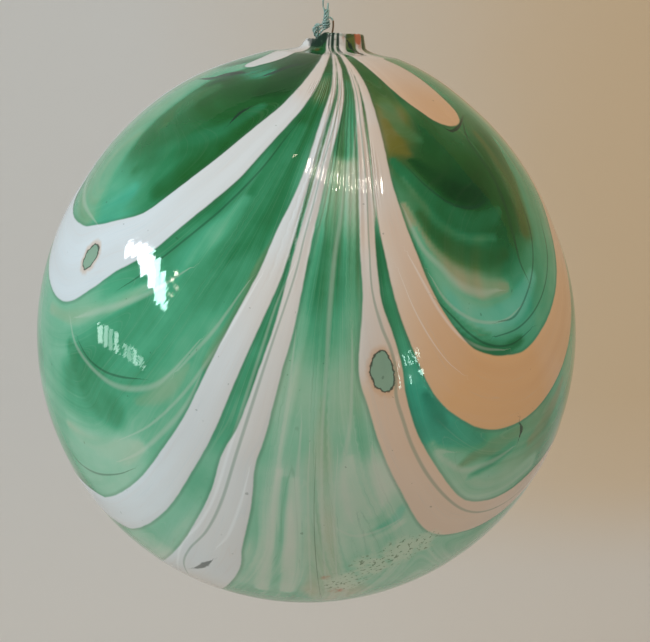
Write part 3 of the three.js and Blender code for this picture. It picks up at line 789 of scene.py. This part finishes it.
def glass_fields(points):
    """What the shader is told at each point, by name."""
    trail = np.full(len(points), -1e6)
    flow, flow_weight = np.zeros(len(points)), np.zeros(len(points))
    warm, warm_weight = np.zeros(len(points)), np.zeros(len(points))
    for warmth, order, stations in trails.values():
        inside, beside, _, weight, mean = to_courses(points, course(stations))
        trail = np.maximum(trail, inside)
        flow += weight * (order + mean)
        flow_weight += weight
        share = 0.02 / (beside ** 2 + 4)
        warm += share * warmth
        warm_weight += share
    for order, stations in leads:
        *_, weight, mean = to_courses(points, course(stations))
        flow += weight * (order + mean)
        flow_weight += weight
    # Creaminess, partly painted warm lamplight on the right.
    for *place, reach, warmth in cream_and_warm_light_tints:
        share = nearness(points, place, reach)
        warm += share * warmth
        warm_weight += share
    blister = np.full(len(points), -10.0)
    for stations in blisters:
        blister = np.maximum(blister, to_courses(points, course(stations))[0])
    stain = np.zeros(len(points))
    for *place, reach, strength in stains:
        stain = np.maximum(stain, strength * nearness(points, place, reach))
    scuff = np.zeros(len(points))
    for *place, reach in scuffed:
        scuff = np.maximum(scuff, nearness(points, place, reach))
    tone, cast, drawn = tint_fields(points)
    fields = {"trail": trail, "flow": flow / flow_weight, "warm": warm / warm_weight, "tone": tone,
              "cast": cast, "drawn": drawn, "blister": blister, "stain": stain, "scuff": scuff}
    for name, lines in (("dark line", dark_lines), ("pale line", pale_lines), ("smear", smears)):
        for k, members in enumerate(apart(lines)):
            fields[f"{name} {k}"] = to_lines(points, members)
    return fields


def ball_mesh():
    rows = np.vstack([outer_rows, inner_rows])
    turn = np.linspace(-math.pi, math.pi, columns, endpoint=False)
    around = turn - front_crowding * np.sin(turn)
    r, z = rows[1:-1, 0][:, None], rows[1:-1, 1][:, None]
    x, y = r * np.sin(around), -r * np.cos(around)
    z = np.broadcast_to(z, x.shape)
    down = np.arctan2(np.hypot(x, y), z)
    lift = x * math.tan(neck_lean) * (1 - smoothstep(down, outer_end, lean_reach))
    from_chip = math.pi - np.abs(np.arctan2(y, x))
    chip = chip_depth * (1 - smoothstep(from_chip, chip_half_angle, chip_half_angle + chip_edge))
    draw = np.random.default_rng(11)
    ragged = np.interp(around, np.linspace(-math.pi, math.pi, 61), draw.uniform(0, 0.35, 61))
    up_neck = np.clip((z - neck_foot) / neck_height, 0, 1)
    z = z + lift - (chip + ragged) * up_neck
    grid = np.stack([x, y, z], axis=-1).reshape(-1, 3)
    points = np.vstack([grid, [[0, 0, rows[0, 1]], [0, 0, rows[-1, 1]]]])
    directions = unit(points)
    outer_count = (len(outer_rows) - 1) * columns
    fields = glass_fields(directions)
    height = trail_height * smoothstep(fields["trail"], -0.5, 0.7)
    height -= blister_depth * smoothstep(fields["blister"], -0.3, 1.2)
    height[outer_count:] = 0
    height[-2] = 0
    points = points + directions * height[:, None]
    count = len(rows) - 2
    k, c = np.meshgrid(np.arange(count - 1), np.arange(columns), indexing="ij")
    n = (c + 1) % columns
    quads = np.stack([k * columns + c, k * columns + n, (k + 1) * columns + n, (k + 1) * columns + c], -1)
    faces = quads.reshape(-1, 4).tolist()
    pole, inner_pole = len(grid), len(grid) + 1
    low = (count - 1) * columns
    for i in range(columns):
        faces.append((pole, (i + 1) % columns, i))
        faces.append((inner_pole, low + i, low + (i + 1) % columns))
    mesh = bpy.data.meshes.new("glass_ball_blown")
    mesh.from_pydata((to_frame(points) / 1000 + ball_centre / 1000).tolist(), [], faces)
    mesh.polygons.foreach_set("use_smooth", [True] * len(mesh.polygons))
    inner = [0] * len(mesh.polygons)
    first_inner = (len(outer_rows) + 1) * columns
    for i, polygon in enumerate(mesh.polygons):
        if i >= first_inner and polygon.vertices[0] != pole:
            inner[i] = 1
    mesh.polygons.foreach_set("material_index", inner)
    for name, values in fields.items():
        mesh.attributes.new(name, "FLOAT", "POINT").data.foreach_set("value", values.astype(np.float32))
    return mesh


glass_ball = bpy.data.objects.new("glass_ball_blown", ball_mesh())
bpy.context.scene.collection.objects.link(glass_ball)
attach(glass_ball, "root")
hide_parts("glass_ball")


# Blown soda-lime glass, IOR 1.52, fire-polished: mirror-smooth, with broad soft waves. The green body is
# clouded by drawn-out streaks of opal, dark where it is clear and pale where it is milky.
def striped_glass():
    material, tree, surface = new_material("striped soda-lime and opal glass")
    plus, multiply, subtract, multiply_add, absolute, minimum, cosine = (
        {"operation": name} for name in
        ("ADD", "MULTIPLY", "SUBTRACT", "MULTIPLY_ADD", "ABSOLUTE", "MINIMUM", "COSINE"))
    eased = {"interpolation_type": "SMOOTHSTEP"}
    coloured = {"data_type": "RGBA"}
    place = add(tree, "TexCoord").node.outputs["Object"]
    field = {told.name: add(tree, "Attribute", {"attribute_name": told.name}).node.outputs["Fac"]
             for told in glass_ball.data.attributes if told.data_type == "FLOAT"}
    flow, drawn = field["flow"], field["drawn"]

    def streaks(along, across, detail, shift=0.0):
        """Noise drawn out along the flow: its sizes along and across in mm."""
        slow = add(tree, "VectorMath", {"operation": "SCALE"}, place, 1000 / along)
        fast = add(tree, "Math", multiply_add, flow, 1 / across, shift)
        return add(tree, "TexNoise", {"noise_dimensions": "4D"}, slow, fast, Scale=1.0, Detail=detail)

    def cloud(size, detail):
        """Noise as large in every direction, its size in mm."""
        return add(tree, "TexNoise", (), place, Scale=1000 / size, Detail=detail)

    def stirred(value, noise, amount):
        """A value moved up and down by noise."""
        return add(tree, "Math", multiply_add, add(tree, "Math", subtract, noise, 0.5), amount, value)

    def hairline(value, at, half_width, strength):
        """A fine line along all the places where a value passes another."""
        off = add(tree, "Math", absolute, add(tree, "Math", subtract, value, at))
        return add(tree, "MapRange", eased, off, 0.0, half_width, strength, 0.0)

    def nearest_line(kind):
        """How many half-widths away the nearest line of a kind is."""
        nearest, *others = [add(tree, "Math", absolute, socket) for name, socket in field.items()
                            if name.startswith(kind + " ")]
        for other in others:
            nearest = add(tree, "Math", minimum, nearest, other)
        return nearest

    # Tone: the listed one, stirred by broad and fine streaks where the glass is drawn out.
    broad = streaks(60, 7, 1.0)
    fine = streaks(45, 1.5, 2.0, 7.0)
    moved = stirred(stirred(0.0, broad, 0.5), fine, 0.32)
    tone = add(tree, "Math", multiply_add, moved, drawn, field["tone"])
    tone = stirred(tone, streaks(30, 9, 2.0, 50.0), 0.22)
    tone = stirred(tone, cloud(5, 3.0), 0.08)
    cast = stirred(field["cast"], streaks(50, 5, 2.0, 13.0), 0.9)
    shades = []  # of the green, the blue-green and the olive glass, from clear and deep to milky
    for stops in (
        [(0.0, "#083f0f"), (1.0, "#cfd5c6"), (0.2, "#1d652c"), (0.35, "#2f8657"), (0.5, "#52ab83"),
         (0.65, "#82bf9f"), (0.8, "#aaccb4")],
        [(0.0, "#10453a"), (1.0, "#d3e2dc"), (0.35, "#1f8a6f"), (0.5, "#3bb093"), (0.65, "#70c6ad"),
         (0.8, "#a6d3c4")],
        [(0.0, "#26330f"), (1.0, "#dcd3c4"), (0.2, "#465420"), (0.35, "#79772f"), (0.5, "#a39d76"),
         (0.65, "#b3ac8b"), (0.8, "#c8c1aa")],
    ):
        shade = add(tree, "ValToRGB", (), tone)
        ends = shade.node.color_ramp.elements
        for i, (position, colour) in enumerate(stops):
            stop = ends[i] if i < 2 else ends.new(position)
            stop.position, stop.color = position, linear(colour)
        shades.append(shade)
    green, teal, olive = shades
    green = add(tree, "Mix", coloured, add(tree, "MapRange", eased, cast, 0.1, 1.0), green, teal)
    green = add(tree, "Mix", coloured, add(tree, "MapRange", eased, cast, -0.1, -1.0), green, olive)
    # Fine threads of opal and of clear dark glass, finer than half a millimetre in the real ball.
    threads = streaks(90, 0.8, 1.0, 31.0)
    pale_thread = add(tree, "Math", multiply, hairline(threads, 0.5, 0.022, 0.17), drawn)
    green = add(tree, "Mix", coloured, pale_thread, green, "#c9d2c2")
    dark_thread = add(tree, "Math", multiply, hairline(threads, 0.61, 0.014, 0.16), drawn)
    green = add(tree, "Mix", coloured, dark_thread, green, "#1d4a2c")
    pale_line = add(tree, "MapRange", eased, nearest_line("pale line"), 1.7, 0.1, 0.0, 0.36)
    green = add(tree, "Mix", coloured, pale_line, green, "#c6cfc0")
    # Opal: white to cream, with faint pink and blue lines where the gather was folded. The cream on the
    # right is partly its own and partly painted warm lamplight.
    opal = add(tree, "Mix", coloured, field["warm"], "#ced3d7", "#d6aa7c")
    opal_cloud = add(tree, "MapRange", eased, streaks(60, 6, 1.0, 3.0), 0.3, 0.7, 0.0, 0.09)
    opal = add(tree, "Mix", {"data_type": "RGBA", "blend_type": "MULTIPLY"}, opal_cloud, opal, "#c9a583")
    folds = streaks(70, 1.3, 1.0, 19.0)
    opal = add(tree, "Mix", coloured, hairline(folds, 0.5, 0.02, 0.09), opal, "#c9a79b")
    opal = add(tree, "Mix", coloured, hairline(folds, 0.6, 0.016, 0.10), opal, "#9fb4be")
    opal = add(tree, "Mix", coloured, add(tree, "Math", multiply, pale_line, 0.8), opal, "#eef1f4")
    # The opal's edge is crisp, with a hair of darker glass beside it.
    wobble = stirred(field["trail"], cloud(3, 2.0), 0.25)
    beside_edge = add(tree, "MapRange", eased, wobble, -1.1, -0.2, 0.0, 1.0)
    beside_edge = add(tree, "Math", multiply, beside_edge, 0.35)
    green = add(tree, "Mix", coloured, beside_edge, green, "#3d6b50")
    # A burst blister is a clear window in the opal, with a painted shadow along its broken edge and a tan
    # stain round it.
    blister = stirred(field["blister"], cloud(1.6, 2.0), 1.5)
    window = add(tree, "MapRange", eased, blister, -0.1, 0.15)
    unbroken = add(tree, "Math", subtract, 1.0, window)
    mask = add(tree, "Math", multiply, add(tree, "MapRange", eased, wobble, -0.22, 0.3), unbroken)
    colour = add(tree, "Mix", coloured, mask, add(tree, "Mix", coloured, window, green, "#8fae98"), opal)
    rim = add(tree, "Math", multiply, add(tree, "MapRange", eased, blister, -1.7, -0.3), unbroken)
    colour = add(tree, "Mix", coloured, add(tree, "Math", multiply, rim, 0.5), colour, "#c49a74")
    # Painted shadow along the pit's broken edge.
    blister_edge_shade = add(tree, "MapRange", eased, add(tree, "Math", absolute, blister), 0.38, 0.05, 0.0, 0.85)
    colour = add(tree, "Mix", coloured, blister_edge_shade, colour, "#2e3d33")
    # Dark lines, paler where they cross the opal, and ragged smears of dirt.
    dark_line = add(tree, "MapRange", eased, nearest_line("dark line"), 1.5, 0.3, 0.0, 0.55)
    dark = add(tree, "Mix", coloured, mask, "#1f4832", "#6f8a78")
    colour = add(tree, "Mix", coloured, dark_line, colour, dark)
    ragged = add(tree, "Math", plus, cloud(1.8, 3.0), 0.5)
    smear = add(tree, "Math", multiply, nearest_line("smear"), ragged)
    smear = add(tree, "Math", multiply, add(tree, "MapRange", eased, smear, 1.3, 0.6), 0.82)
    colour = add(tree, "Mix", coloured, smear, colour, "#22322e")
    # Rust, the pale scuffed place and its specks, and dirt in single pits all over.
    rust = add(tree, "Math", multiply, field["stain"], cloud(1.5, 3.0))
    rust = add(tree, "MapRange", eased, rust, 0.12, 0.4, 0.0, 0.9)
    colour = add(tree, "Mix", coloured, rust, colour, "#b35a28")
    scuffing = add(tree, "Math", multiply, field["scuff"], cloud(3.5, 3.0))
    scuffing = add(tree, "MapRange", eased, scuffing, 0.15, 0.45, 0.0, 0.75)
    colour = add(tree, "Mix", coloured, scuffing, colour, "#c3d3bb")
    specks = add(tree, "MapRange", eased, cloud(0.9, 3.0), 0.56, 0.64)
    specks = add(tree, "Math", multiply, specks, field["scuff"])
    specks = add(tree, "MapRange", eased, specks, 0.3, 0.7, 0.0, 0.7)
    colour = add(tree, "Mix", coloured, specks, colour, "#47683f")
    pits = add(tree, "MapRange", eased, cloud(1.6, 1.0), 0.775, 0.8, 0.0, 0.35)
    colour = add(tree, "Mix", coloured, pits, colour, "#2c4634")
    tree.links.new(colour, surface.inputs["Base Color"])
    # The clear glass lets some light through, the milky less and the opal none.
    clearness = add(tree, "MapRange", eased, tone, 0.1, 0.7, 0.30, 0.16)
    clearness = add(tree, "Math", multiply, clearness, add(tree, "Math", subtract, 1.0, mask))
    tree.links.new(clearness, surface.inputs["Transmission Weight"])
    # Relief: soft ridges left by the comb between neck and shoulder, and slow waves of hand-blown glass.
    level = add(tree, "Math", multiply, add(tree, "SeparateXYZ", (), place).node.outputs["Z"], 1000.0)
    combed = add(tree, "Math", multiply, add(tree, "MapRange", eased, level, -112, -96),
                 add(tree, "MapRange", eased, level, -58, -66))
    ridge = add(tree, "Math", cosine, add(tree, "Math", multiply, flow, 2 * math.pi / 2.9))
    ridge = add(tree, "Math", multiply, ridge, combed)
    height = add(tree, "Math", multiply, ridge, add(tree, "MapRange", eased, drawn, 0.55, 1.0, 0.0, 0.08))
    height = add(tree, "Math", multiply_add, cloud(16, 1.0), 0.10, height)
    height = add(tree, "Math", multiply_add, fine, 0.035, height)
    height = add(tree, "Math", multiply_add, cloud(4, 1.0), 0.012, height)
    relief = add(tree, "Bump", (), Strength=1.0, Distance=0.001, Height=height)
    tree.links.new(relief, surface.inputs["Normal"])
    surface.inputs["Roughness"].default_value = 0.04
    surface.inputs["IOR"].default_value = 1.52
    return material


glass_ball.data.materials.append(striped_glass())

# Inside, the same soda-lime glass without a trail in it, clear and faintly green, with the same IOR.
clear_glass, _, clear_surface = new_material("clear soda-lime glass")
clear_surface.inputs["Base Color"].default_value = linear("#d7ebdd")
clear_surface.inputs["Transmission Weight"].default_value = 1.0
clear_surface.inputs["Roughness"].default_value = 0.05
clear_surface.inputs["IOR"].default_value = 1.52
glass_ball.data.materials.append(clear_glass)


# The stage: a matt painted wall well behind the ball, grey where the window lights it, with painted
# warm lamplight in beige to the right and painted brighter light low down, a pale floor below, and a
# studio's soft light.
def stage_board(name, corners, colour, warm_light_colour=None):
    """A board in a colour that goes over to a second on the right, painted warm light, and both paler
    low down, painted brighter light.
    """
    mesh = bpy.data.meshes.new(name)
    mesh.from_pydata(corners, [], [(0, 1, 2, 3)])
    board = bpy.data.objects.new(name, mesh)
    bpy.context.scene.collection.objects.link(board)
    material, tree, surface = new_material(name + " paint")
    place = add(tree, "TexCoord").node.outputs["Object"]
    uneven = add(tree, "TexNoise", (), place, Scale=5.0, Detail=4.0)
    across, _, level = add(tree, "SeparateXYZ", (), place).node.outputs
    across = add(tree, "Math", {"operation": "MULTIPLY_ADD"}, uneven, 0.12, across)
    # The share of the second colour is painted warm lamplight from the right, weaker low down.
    share = add(tree, "MapRange", {"interpolation_type": "SMOOTHSTEP"}, across, -0.16, 0.40)
    above = add(tree, "MapRange", {"interpolation_type": "SMOOTHSTEP"}, level, -0.62, -0.50, 0.35)
    share = add(tree, "Math", {"operation": "MULTIPLY"}, share, above)
    paint = add(tree, "Mix", {"data_type": "RGBA"}, share, colour, warm_light_colour or colour)
    # Paler low down: painted brighter light.
    low = add(tree, "MapRange", (), level, -0.66, -0.42, 0.4, 0.0)
    paint = add(tree, "Mix", {"data_type": "RGBA"}, low, paint, "#f3ebe2")
    tree.links.new(paint, surface.inputs["Base Color"])
    surface.inputs["Roughness"].default_value = 0.9
    mesh.materials.append(material)


# The wall's beige on the right is painted warm lamplight.
stage_board("wall", [(-4, 1.4, -0.85), (4, 1.4, -0.85), (4, 1.4, 3), (-4, 1.4, 3)], "#dedcd9", "#dcc2a0")
stage_board("floor", [(-4, -4, -0.85), (4, -4, -0.85), (4, 1.4, -0.85), (-4, 1.4, -0.85)], "#dcd8d0")


def lamp(name, direction, distance, width, height, power, colour, glossy=True, upright=(0, 0, 1.0)):
    """A soft box that faces the ball from a direction."""
    data = bpy.data.lights.new(name, "AREA")
    data.shape, data.size, data.size_y = "RECTANGLE", width, height
    data.energy, data.color = power, linear(colour)[:3]
    away = unit(np.array(direction, float))
    side = unit(np.cross(upright, away))
    turn = np.eye(4)
    turn[:3, 0], turn[:3, 1], turn[:3, 2] = side, np.cross(away, side), away
    turn[:3, 3] = ball_centre / 1000 + away * distance
    obj = bpy.data.objects.new(name, data)
    obj.matrix_world = turn.T
    obj.visible_glossy = glossy
    bpy.context.scene.collection.objects.link(obj)


lamp_distance = 1.2


def mirrored(x, y):
    """The direction of the light that the glass mirrors at a pixel."""
    normal = to_frame(seen(x, y))
    place = ball_radius * normal
    away = unit(view_place - ball_centre - place)
    out = 2 * (normal @ away) * normal - away
    along = place @ out
    onward = math.sqrt(along ** 2 - ball_radius ** 2 + (1000 * lamp_distance) ** 2) - along
    return unit(place + onward * out)


def mirrored_lamp(name, x, y, wide, tall, glow, colour):
    """A lamp that shows in the glass at a pixel, so many pixels wide and tall. The glow is in W/m2."""
    width = lamp_distance * np.linalg.norm(mirrored(x + wide / 2, y) - mirrored(x - wide / 2, y))
    upright = mirrored(x, y - tall / 2) - mirrored(x, y + tall / 2)
    height = lamp_distance * np.linalg.norm(upright)
    lamp(name, mirrored(x, y), lamp_distance, width, height, glow * width * height, colour, upright=upright)


# The window shows in the glass as a slanting row of uneven upright slats of light, and a second one
# lower as two dim ones; a lamp above shows on the combed ridges, and a far window on the right.
window = [
    (129, 251, 8, 13), (137, 254, 8, 20), (144.5, 260, 7, 30), (151, 270, 6.5, 38), (157, 281, 6, 44),
    (163, 290, 5, 38),
]
for k, (x, y, wide, tall) in enumerate(window):
    mirrored_lamp(f"window slat {k}", x, y, wide, tall, 100, "#e9f1ff" if k < 4 else "#bff0e6")
sparkles = [
    (175, 273, 3.5, 5), (171, 280, 2, 5), (176, 288, 3, 3), (170, 294, 2, 3),
]
for k, (x, y, wide, tall) in enumerate(sparkles):
    mirrored_lamp(f"window sparkle {k}", x, y, wide, tall, 80, "#fff6e2")
low_window = [
    (100, 334, 4, 17), (105, 336, 4, 21), (110, 339, 4, 21), (116, 342, 4, 19), (125, 350, 3, 16),
    (130, 353, 5, 16), (136, 357, 4, 17), (142, 361, 5, 12),
]
for k, (x, y, wide, tall) in enumerate(low_window):
    mirrored_lamp(f"low window slat {k}", x, y, wide, tall, 26 - 6 * (k % 3), "#dff5ee")
for k, (x, y, wide, tall) in enumerate([(403, 366, 2, 24), (408, 381, 5, 10), (411, 358, 2, 14)]):
    mirrored_lamp(f"far window {k}", x, y, wide, tall, 45, "#d6fff2")
mirrored_lamp("ceiling lamp", 364, 203, 15, 14, 260, "#fff1dd")
mirrored_lamp("ceiling lamp's other end", 306, 182, 5, 14, 160, "#ffe9cf")
lamp("window glow", (-0.85, -0.5, 0.35), 1.6, 1.2, 1.2, 3.6, "#e6eeff", glossy=False)
lamp("warm fill", (0.8, -0.5, 0.5), 1.6, 1.2, 1.2, 3.2, "#ffe0b8", glossy=False)
lamp("floor bounce", (-0.1, -0.75, -0.65), 1.4, 1.2, 1.2, 5.9, "#f4f2ee", glossy=False)

# The air lights the room evenly, but the glass mirrors less of it, as in a room that is dim away from
# its window. So the clear glass stays deep.
world = bpy.data.worlds.new("soft studio air")
world.use_nodes = True
air = world.node_tree.nodes["Background"]
air.inputs["Color"].default_value = linear("#e7e7e8")
mirrored_ray = add(world.node_tree, "LightPath").node.outputs["Is Glossy Ray"]
glow = add(world.node_tree, "MapRange", (), mirrored_ray, To_Min=0.45, To_Max=0.2)
world.node_tree.links.new(glow, air.inputs["Strength"])
bpy.context.scene.world = world
bpy.context.scene.view_settings.view_transform = "Standard"
